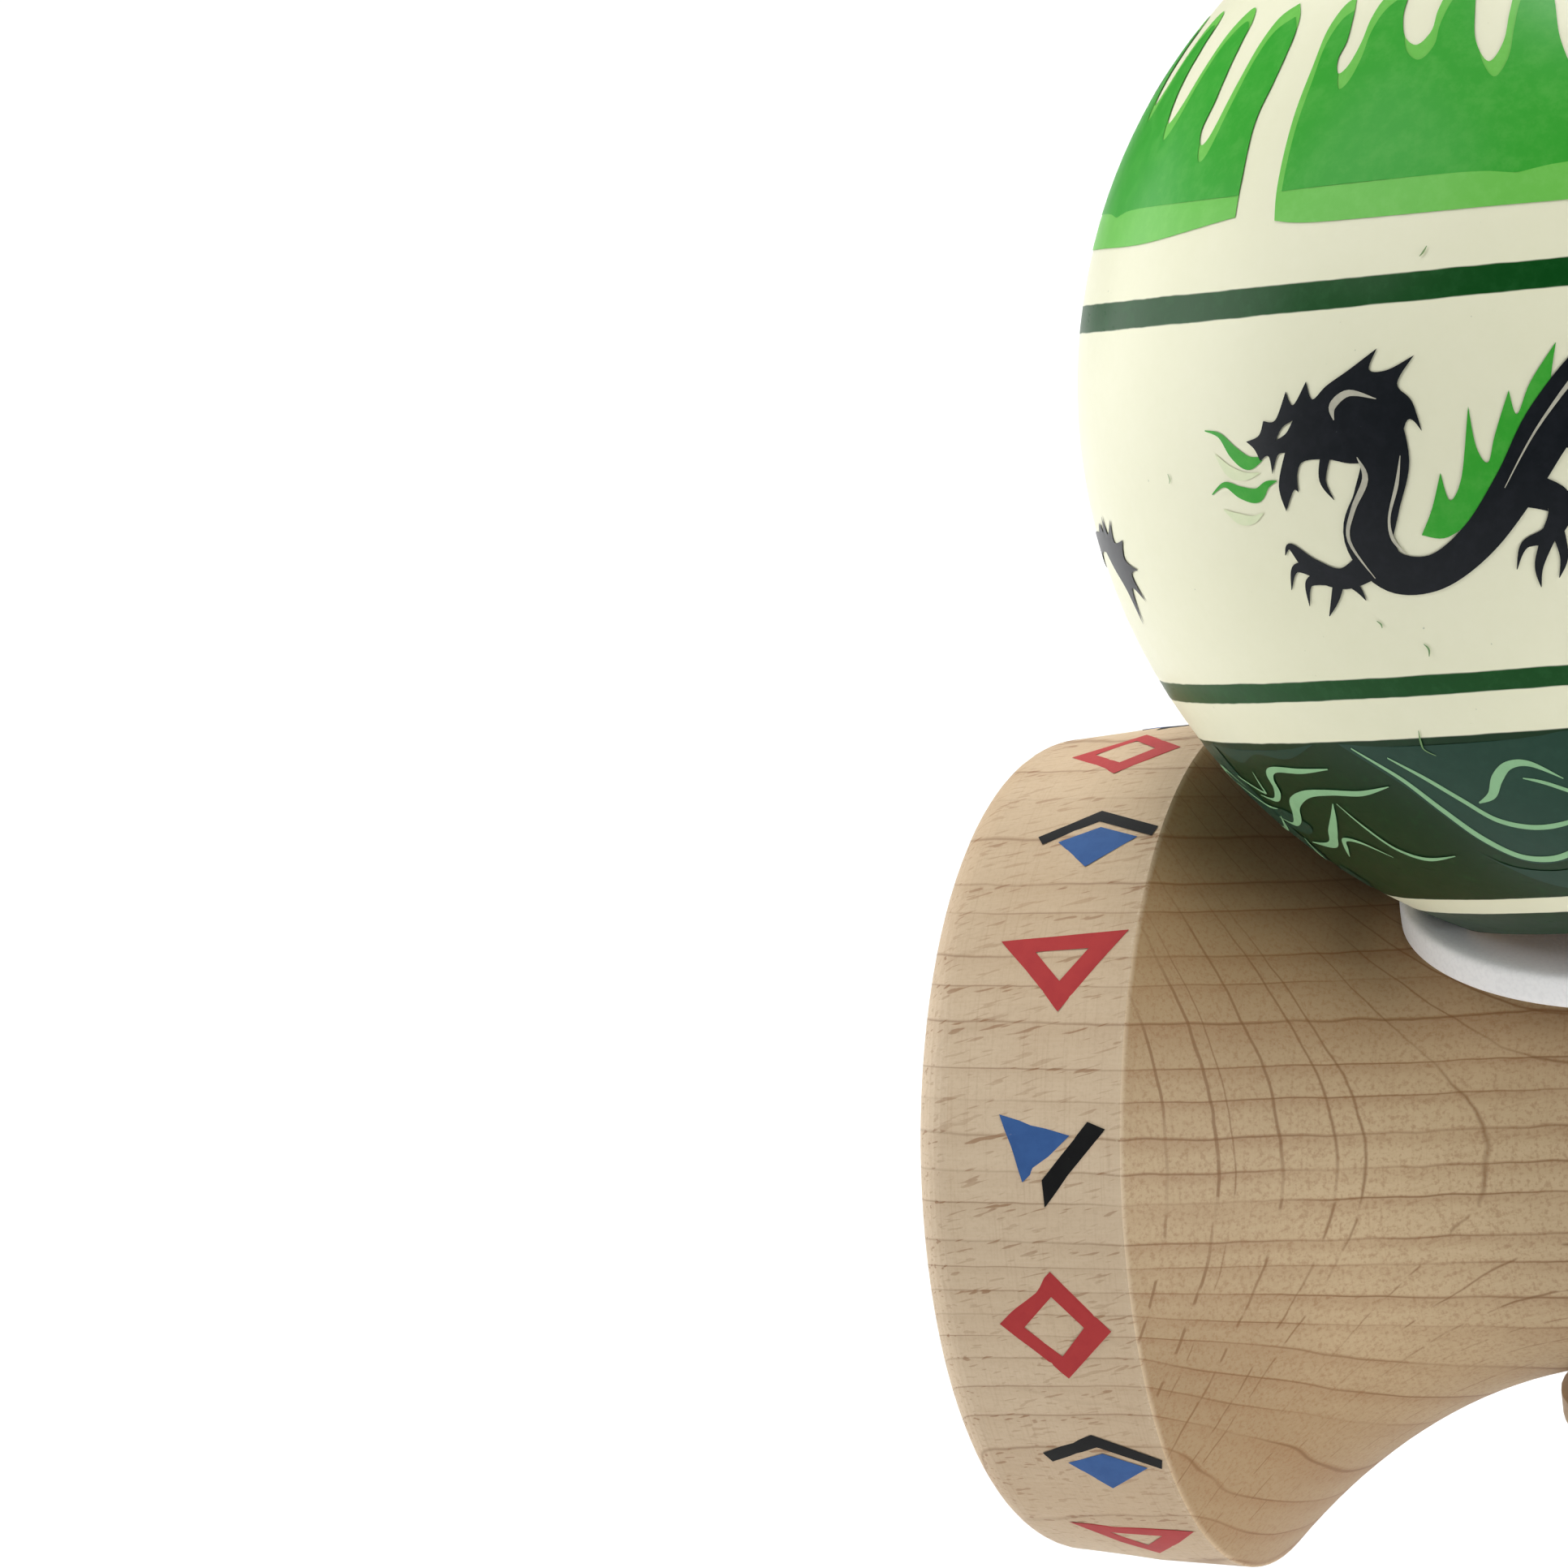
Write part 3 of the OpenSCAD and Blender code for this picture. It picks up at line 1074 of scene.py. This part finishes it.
@dataclass
class Ball:
    """The lacquered ball with its printed panels, serpents and waves."""

    node: str = "tama"
    body: str = "ball"
    centre: tuple[float, float, float] = (0.1, 0.95, 153.12)
    axis: tuple[float, float, float] = (-0.048231, 0.193446, 0.979925)
    radius: float = 30.0

    def panel(self) -> tuple[Drawing, Drawing]:
        """One panel of rising fingers: the light layer and the dark layer on it.

        Returns:
            The two drawings.
        """
        edge = outline([
            (-12.3, 10.2, 1), (-12.5, 12.0), (-12.5, 15.7), (-12.3, 18.6), (-12.3, 20.8),
            (-11.8, 22.3),
            (-11.0, 22.9, 1), (-10.5, 21.6), (-10.2, 20.0), (-10.4, 18.9), (-10.0, 18.0), (-9.4, 18.5),
            (-9.0, 19.8), (-8.9, 21.3), (-8.4, 22.6), (-7.4, 23.3), (-6.6, 22.7), (-6.4, 21.2),
            (-5.8, 19.8), (-4.8, 19.2), (-4.0, 20.0), (-3.9, 21.3), (-3.4, 22.8), (-2.5, 23.4),
            (-1.6, 22.8), (-1.3, 21.2), (-0.9, 19.1), (0.1, 17.7), (0.9, 18.8), (1.1, 20.6),
            (1.4, 22.4), (2.4, 23.4), (3.5, 22.8), (4.0, 21.0), (4.4, 18.6), (5.4, 16.4), (6.4, 17.4),
            (6.9, 19.6), (7.4, 21.8), (8.7, 23.2), (9.9, 22.4), (10.4, 20.6), (10.8, 17.4),
            (10.6, 15.7), (11.2, 14.8), (11.9, 15.6), (12.5, 18.4), (12.8, 20.6), (13.4, 22.2),
            (14.8, 23.0, 1), (15.7, 22.0), (16.2, 20.5), (16.2, 18.2), (15.8, 15.8), (16.0, 13.0),
            (16.1, 10.6, 1), (8.0, 9.8), (0.0, 9.8), (-9.4, 9.9)])
        moved = [(x + 0.42, y - 0.95) for x, y in edge]
        foot = [(-14.0, 11.75), (2.0, 11.4), (18.0, 11.8), (18.0, 8.0), (-14.0, 8.0)]
        return Drawing([edge]), Drawing([edge], [foot], [moved])

    def serpent(self) -> Drawing:
        """One black serpent dragon, head to the left.

        Returns:
            The drawing.
        """
        body = stroke([(-6.2, -0.4, 1.7), (-5.7, -2.2, 1.35), (-6.5, -4.2, 1.3), (-7.3, -6.0, 1.45),
                       (-6.3, -7.7, 1.15), (-3.9, -7.9, 0.9), (-1.3, -6.4, 0.95), (1.0, -3.9, 1.1),
                       (3.2, -0.9, 1.3), (6.3, 1.9, 1.35), (10.3, 2.9, 1.3), (14.0, 1.3, 1.2),
                       (16.6, -2.0, 1.1), (19.8, -5.0, 1.0), (23.8, -6.2, 0.8), (27.6, -5.5, 0.6),
                       (30.8, -5.6, 0.45), (33.6, -7.2, 0.1)])
        head = outline([
            (-14.0, -0.7, 1), (-13.1, -0.45), (-12.7, 0.25, 1), (-11.9, 0.25), (-11.1, 1.6, 1),
            (-10.7, 0.9), (-9.8, 2.0, 1), (-9.5, 1.1), (-8.6, 1.7), (-7.2, 2.4), (-5.6, 3.3, 1),
            (-6.1, 2.3), (-5.1, 2.2), (-3.6, 2.8, 1), (-4.6, 1.5), (-3.9, 0.6), (-3.5, -0.9, 1),
            (-4.2, -0.3), (-5.2, -2.0), (-7.4, -2.2), (-8.9, -1.9), (-10.4, -1.9), (-10.9, -2.5),
            (-11.0, -3.4, 1), (-11.3, -3.3), (-12.0, -4.3, 1), (-12.2, -3.0), (-11.5, -1.4, 1),
            (-12.0, -1.5), (-12.5, -2.4, 1), (-12.6, -1.5), (-13.2, -1.7, 1), (-13.5, -1.1)])
        shapes = [body, head]
        shapes += [stroke(p) for p in (
            [(-7.4, -7.2, 0.8), (-9.3, -7.9, 0.55), (-11.0, -7.3, 0.55), (-12.2, -6.1, 0.2),
             (-12.7, -6.5, 0.02)],
            [(-10.6, -7.5, 0.45), (-12.2, -7.2, 0.22), (-12.9, -8.3, 0.02)],
            [(-10.3, -7.8, 0.4), (-11.6, -8.0, 0.22), (-12.0, -9.2, 0.02)],
            [(-9.6, -7.9, 0.35), (-10.2, -8.9, 0.24), (-10.9, -9.8, 0.02)],
            [(-9.2, -7.9, 0.3), (-8.6, -8.5, 0.2), (-8.3, -9.1, 0.02)],
            [(0.9, -4.0, 0.9), (3.0, -4.9, 0.7), (2.4, -6.4, 0.45), (1.0, -6.9, 0.2), (0.4, -8.1, 0.02)],
            [(2.6, -6.0, 0.4), (1.6, -7.9, 0.24), (1.5, -9.1, 0.02)],
            [(2.7, -6.0, 0.35), (2.9, -7.6, 0.22), (2.5, -8.7, 0.02)],
            [(2.9, -5.4, 0.3), (4.1, -6.4, 0.2), (4.4, -7.6, 0.02)],
            [(3.2, -1.2, 1.0), (5.6, -2.4, 0.3), (7.9, -2.2, 0.02)],
            [(16.2, -2.2, 0.9), (13.6, -3.4, 0.55), (12.2, -5.3, 0.45), (10.8, -5.6, 0.2),
             (10.1, -6.7, 0.02)],
            [(12.6, -4.9, 0.4), (11.6, -6.6, 0.22), (11.3, -7.9, 0.02)],
            [(12.7, -5.0, 0.35), (12.8, -6.8, 0.22), (12.5, -8.0, 0.02)],
            [(21.8, -5.9, 0.8), (22.6, -7.6, 0.45), (21.3, -9.2, 0.35), (20.0, -9.4, 0.02)],
            [(22.2, -8.0, 0.35), (22.4, -9.6, 0.22), (21.8, -10.8, 0.02)],
            [(22.4, -7.8, 0.3), (23.9, -8.9, 0.2), (24.4, -10.2, 0.02)],
            [(-9.0, -1.6, 0.3), (-9.4, -2.9, 0.2), (-8.9, -3.9, 0.02)],
        )]
        shapes.append(outline([(29.6, -5.2), (30.5, -4.4), (31.1, -4.9), (31.7, -4.0, 1), (32.2, -5.0),
                               (33.5, -4.2, 1), (33.2, -5.4), (34.9, -5.3, 1), (34.3, -6.3),
                               (36.0, -6.9, 1), (34.7, -7.2), (35.5, -8.6, 1), (33.9, -7.9),
                               (33.2, -9.9, 1), (32.6, -8.0), (31.0, -6.6)]))
        eye = outline([(-12.0, -0.75, 1), (-11.5, -0.15), (-10.8, 0.15, 1), (-11.3, -0.45)])
        return Drawing(shapes, [eye])

    def glints(self) -> Drawing:
        """The pale lines drawn on the serpent.

        Returns:
            The drawing.
        """
        return Drawing([stroke(p, 6) for p in (
            [(-8.3, 0.0, 0.03), (-8.3, 0.7, 0.2), (-7.3, 1.25, 0.16), (-5.8, 0.85, 0.02)],
            [(-7.2, -1.9, 0.02), (-6.9, -3.0, 0.17), (-7.9, -4.5, 0.13), (-8.45, -6.0, 0.1),
             (-7.4, -8.0, 0.02)],
            [(-4.8, -2.0, 0.02), (-5.2, -3.4, 0.1), (-5.9, -5.0, 0.07), (-5.9, -6.1, 0.1),
             (-5.3, -6.9, 0.02)],
            [(0.4, -4.0, 0.02), (2.7, -0.8, 0.07), (5.8, 2.2, 0.15), (9.8, 3.5, 0.08), (12.4, 2.8, 0.02)],
            [(16.2, -0.6, 0.02), (18.4, -3.2, 0.12), (21.6, -5.1, 0.1), (25.4, -5.6, 0.02)],
        )])

    def flames(self) -> Drawing:
        """The green breath and back flames beside the serpent.

        Returns:
            The drawing.
        """
        shapes = [stroke(p) for p in (
            [(-17.0, 0.0, 0.03), (-15.9, -0.3, 0.14), (-15.0, -1.2, 0.34), (-14.1, -1.75, 0.36),
             (-13.1, -1.6, 0.1)],
            [(-17.1, -3.2, 0.03), (-16.0, -2.75, 0.14), (-14.9, -3.2, 0.32), (-13.8, -3.4, 0.36),
             (-13.0, -2.9, 0.18), (-12.3, -2.75, 0.03)])]
        shapes.append(outline([
            (-4.3, -6.0, 1), (-3.5, -4.7), (-2.8, -3.0, 1), (-2.5, -4.4), (-1.7, -3.2), (-1.0, 0.1, 1),
            (-0.8, -1.9), (-0.3, -2.7), (0.2, -1.4), (1.1, 0.7, 1), (1.4, -0.5), (2.2, 1.0), (3.6, 2.8, 1),
            (3.2, 1.0), (3.0, -1.0, 1), (1.2, -2.9), (-0.9, -5.0), (-2.9, -6.2)]))
        shapes.append(outline([
            (8.0, 4.0, 1), (8.9, 4.8), (9.3, 4.9, 1), (10.4, 4.2), (11.6, 4.4), (12.9, 4.9, 1),
            (13.4, 3.4), (14.8, 3.0), (16.2, 3.2, 1), (16.0, 1.4), (17.0, 0.3), (18.4, 0.2, 1),
            (17.6, -1.4), (16.4, -0.4, 1), (13.6, 2.3), (10.8, 3.6)]))
        return Drawing(shapes)

    def ghosts(self) -> Drawing:
        """The faint overprint below the breath.

        Returns:
            The drawing.
        """
        return Drawing([stroke(p) for p in (
            [(-16.4, -1.2, 0.03), (-15.5, -2.1, 0.3), (-14.4, -2.4, 0.2), (-13.4, -2.3, 0.03)],
            [(-16.4, -4.0, 0.03), (-15.4, -4.5, 0.28), (-14.4, -4.6, 0.2), (-13.6, -4.3, 0.03)])])

    def waves(self) -> Drawing:
        """One repeat of the pale waves on the dark lower band.

        Returns:
            The drawing.
        """
        return Drawing([stroke(p) for p in (
            [(-30.4, -19.3, 0.08), (-29.0, -19.9, 0.1), (-27.4, -20.4, 0.1), (-26.9, -19.9, 0.1),
             (-26.2, -18.9, 0.03)],
            [(-16.7, -18.7, 0.04), (-19.7, -18.8, 0.18), (-22.6, -18.7, 0.2), (-24.0, -19.2, 0.28),
             (-24.8, -20.2, 0.26), (-26.6, -20.9, 0.14), (-28.8, -20.6, 0.03)],
            [(-12.4, -20.0, 0.03), (-15.2, -20.4, 0.18), (-18.2, -20.3, 0.2), (-21.0, -20.4, 0.26),
             (-23.8, -21.1, 0.36), (-25.8, -22.2, 0.3), (-28.0, -22.8, 0.14), (-30.0, -22.3, 0.03)],
            [(-18.9, -21.1, 0.03), (-20.4, -22.2, 0.2), (-22.6, -23.4, 0.32), (-25.0, -24.4, 0.26),
             (-28.8, -24.3, 0.04)],
            [(-18.5, -21.1, 0.04), (-17.7, -23.0, 0.12), (-16.6, -24.7, 0.14), (-14.4, -25.6, 0.15),
             (-11.3, -25.4, 0.03)],
            [(-24.4, -25.4, 0.03), (-23.1, -24.6, 0.16), (-21.8, -23.9, 0.14), (-20.0, -24.2, 0.12),
             (-18.0, -25.4, 0.03)],
            [(-13.5, -17.4, 0.05), (-11.0, -19.5, 0.16), (-9.3, -21.8, 0.22), (-7.7, -24.0, 0.26),
             (-5.7, -25.6, 0.24), (-3.4, -26.0, 0.24), (-1.2, -25.5, 0.2), (1.6, -24.0, 0.04)],
            [(-11.1, -18.1, 0.05), (-9.2, -19.5, 0.14), (-7.4, -21.1, 0.17), (-5.6, -22.7, 0.19),
             (-3.2, -23.4, 0.19), (-0.6, -23.2, 0.16), (2.2, -22.2, 0.03)],
            [(-6.2, -21.4, 0.05), (-5.0, -20.9, 0.26), (-4.1, -19.8, 0.34), (-3.0, -19.0, 0.26),
             (-1.6, -19.0, 0.18), (0.2, -20.1, 0.03)],
            [(-2.4, -19.9, 0.04), (-1.1, -20.3, 0.12), (1.4, -21.4, 0.12), (3.4, -21.6, 0.03)],
        )])

    def depths(self) -> Drawing:
        """The blue-green patches under the waves.

        Returns:
            The drawing.
        """
        return Drawing([
            outline([(-30.2, -17.1, 1), (-16.6, -17.1, 1), (-20.0, -18.0), (-23.6, -17.7), (-27.0, -18.3)]),
            outline([(-14.4, -17.1, 1), (-11.4, -19.7), (-9.7, -22.0), (-8.1, -24.2), (-6.0, -25.9),
                     (-3.4, -26.4), (0.4, -25.3), (1.3, -22.0), (1.4, -17.1, 1)]),
            outline([(-9.6, -24.6, 1), (-7.0, -26.5), (-3.2, -27.1), (1.2, -26.5), (1.4, -28.2, 1),
                     (-2.4, -28.9), (-5.8, -27.8)]),
            outline([(-30.0, -21.6, 1), (-27.0, -21.7), (-25.2, -22.9), (-27.2, -23.6), (-30.0, -23.2, 1)])])

    def scuffs(self) -> Drawing:
        """Small dents and scratches that show the undercoat.

        Returns:
            The drawing.
        """
        return Drawing([stroke(p, 4) for p in (
            [(-7.9, -16.5, 0.02), (-8.1, -17.2, 0.06), (-8.1, -17.7, 0.04), (-7.5, -18.1, 0.02)],
            [(-5.6, -11.6, 0.02), (-5.4, -11.9, 0.06), (-5.5, -12.3, 0.02)],
            [(-8.0, -10.2, 0.02), (-7.8, -10.4, 0.05), (-7.8, -10.6, 0.02)],
            [(-3.2, 7.6, 0.02), (-3.0, 7.8, 0.05), (-2.8, 8.1, 0.02)],
            [(-20.6, -2.0, 0.02), (-20.5, -2.3, 0.04), (-20.6, -2.5, 0.02)],
            [(9.0, -8.0, 0.02), (9.5, -8.6, 0.06), (9.6, -9.2, 0.02)],
        )])

    def dress(self) -> None:
        """Lacquer the ball and print it."""
        axis = Vector(self.axis).normalized()
        paint_node(self.node, Lacquer("ball_lacquer", self.centre, tuple(axis)).material())
        skin = BallSkin(Vector(self.centre), axis, self.radius)
        third = 2 * math.pi * self.radius / 3
        thirds = [(third * i, 0.0) for i in range(3)]
        sixths = [(third / 2 * i, 0.0) for i in range(6)]
        light, dark = self.panel()
        leaf = Ink("ink_leaf", tone(56, 160, 50), tone(84, 174, 70), patch=0.55)
        pale_leaf = Ink("ink_pale_leaf", tone(108, 190, 80), tone(124, 200, 96))
        black = Ink("ink_night", tone(22, 26, 30), tone(34, 36, 42),
                    bare=tone(120, 122, 116), wear=0.3)
        sage = Ink("ink_sage", tone(140, 186, 140), tone(126, 172, 128))
        depth = Ink("ink_depth", tone(28, 62, 48), tone(36, 70, 56))
        for name, drawing, layer, ink, shifts in (
            ("panel_light", light, Layer.FIRST, pale_leaf, sixths),
            ("panel_dark", dark, Layer.SECOND, leaf, sixths),
            ("breath_ghost", self.ghosts(), Layer.FIRST,
             Ink("ink_ghost", tone(220, 228, 190), tone(206, 222, 174)), thirds),
            ("flames", self.flames(), Layer.FIRST, leaf, thirds),
            ("serpent", self.serpent(), Layer.SECOND, black, thirds),
            ("serpent_glints", self.glints(), Layer.THIRD,
             Ink("ink_glint", tone(186, 184, 166), tone(150, 148, 136)), thirds),
            ("wave_depths", self.depths(), Layer.FIRST, depth, sixths),
            ("waves", self.waves(), Layer.SECOND, sage, sixths),
            ("scuffs", self.scuffs(), Layer.THIRD,
             Ink("ink_scuff", tone(112, 150, 96), tone(150, 150, 110)), [(0.0, 0.0)]),
        ):
            film = print_film(f"ball_{name}", drawing, skin, layer, ink.material(), shifts)
            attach(film, self.body)
            LOG.info("ball's %s printed", name)


def paint_node(node: str, material: bpy.types.Material) -> None:
    """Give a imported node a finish.

    Args:
        node: The node's name.
        material: Its finish.
    """
    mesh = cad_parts[node].data
    mesh.materials.clear()
    mesh.materials.append(material)


@dataclass
class Studio:
    """The camera, a plain pale floor and soft light."""

    eye: tuple[float, float, float] = (0.10425, -0.37796, 0.23795)
    azimuth: float = 22.311
    elevation: float = 14.426
    roll: float = 7.145
    lens: float = 176.26
    floor_size: float = 8.0
    ambient: float = 0.02

    def camera(self) -> None:
        """Set the camera by its heading, tilt and roll."""
        az, el, roll = (math.radians(a) for a in (self.azimuth, self.elevation, self.roll))
        ahead = Vector((-math.sin(az) * math.cos(el), math.cos(az) * math.cos(el), -math.sin(el)))
        right = Vector((math.cos(az), math.sin(az), 0.0))
        up = right.cross(ahead)
        right, up = (right * math.cos(roll) - up * math.sin(roll),
                     right * math.sin(roll) + up * math.cos(roll))
        data = bpy.data.cameras.new("camera")
        data.lens, data.sensor_width = self.lens, 36.0
        data.clip_start, data.clip_end = 0.01, 50.0
        camera = bpy.data.objects.new("camera", data)
        turn = Matrix((right, up, -ahead)).transposed()
        camera.matrix_world = Matrix.Translation(self.eye) @ turn.to_4x4()
        bpy.context.scene.collection.objects.link(camera)
        bpy.context.scene.camera = camera

    def floor(self) -> None:
        """Lay the floor under the toy."""
        half, n = self.floor_size / 2, 8
        points = [(half * (2 * i / n - 1), half * (2 * j / n - 1), -0.0003)
                  for j in range(n + 1) for i in range(n + 1)]
        row = n + 1
        faces = [(j * row + i, j * row + i + 1, (j + 1) * row + i + 1, (j + 1) * row + i)
                 for j in range(n) for i in range(n)]
        build("floor", points, faces, Paper("floor_paper").material())

    def lamp(self, name: str, place: Point, aim: Point, size: float, power: float) -> None:
        """Hang one square soft light.

        Args:
            name: Its name.
            place: Where it is, in metres.
            aim: What it points at.
            size: Its side.
            power: Its power in watts.
        """
        data = bpy.data.lights.new(name, "AREA")
        data.shape, data.size, data.energy = "SQUARE", size, power
        light = bpy.data.objects.new(name, data)
        light.location = place
        light.rotation_euler = (Vector(aim) - Vector(place)).to_track_quat("-Z", "Y").to_euler()
        bpy.context.scene.collection.objects.link(light)

    def set_up(self) -> None:
        """Make the whole studio."""
        scene = bpy.context.scene
        world = bpy.data.worlds.new("studio")
        world.use_nodes = True
        background = world.node_tree.nodes["Background"]
        background.inputs["Color"].default_value = (1.0, 1.0, 1.0, 1.0)
        background.inputs["Strength"].default_value = self.ambient
        scene.world = world
        scene.view_settings.view_transform = "Standard"
        self.camera()
        self.floor()
        target = (0.0, 0.0, 0.13)
        for name, place, aim, size, power in (
            ("key", (-0.75, -0.45, 0.95), target, 0.7, 5.4),
            ("left", (-1.1, -0.15, 0.35), target, 0.6, 4.4),
            ("edge", (-1.1, 0.42, 0.22), target, 0.55, 2.0),
            ("top", (-0.1, 0.1, 1.2), target, 0.35, 5.3),
            ("right", (1.05, -0.4, 0.2), target, 0.5, 9.3),
            ("rear", (0.5, 1.3, 0.6), target, 0.8, 3.0),
            ("floor_wash", (-0.2, 1.3, 1.1), (-0.2, 1.3, 0.0), 1.6, 18.0),
            ("back_wash", (0.0, 3.4, 1.6), (0.0, 3.4, 0.0), 2.5, 34.0),
        ):
            self.lamp(name, place, aim, size, power)
        LOG.info("studio ready")


def main() -> None:
    """Build every part of the toy and its studio in order."""
    logging.basicConfig(level=logging.INFO, format="%(name)s: %(message)s")
    Studio().set_up()
    for part in (Handle(), Barrel(), Washer(), Ball()):
        part.dress()


if __name__ == "__main__":
    main()
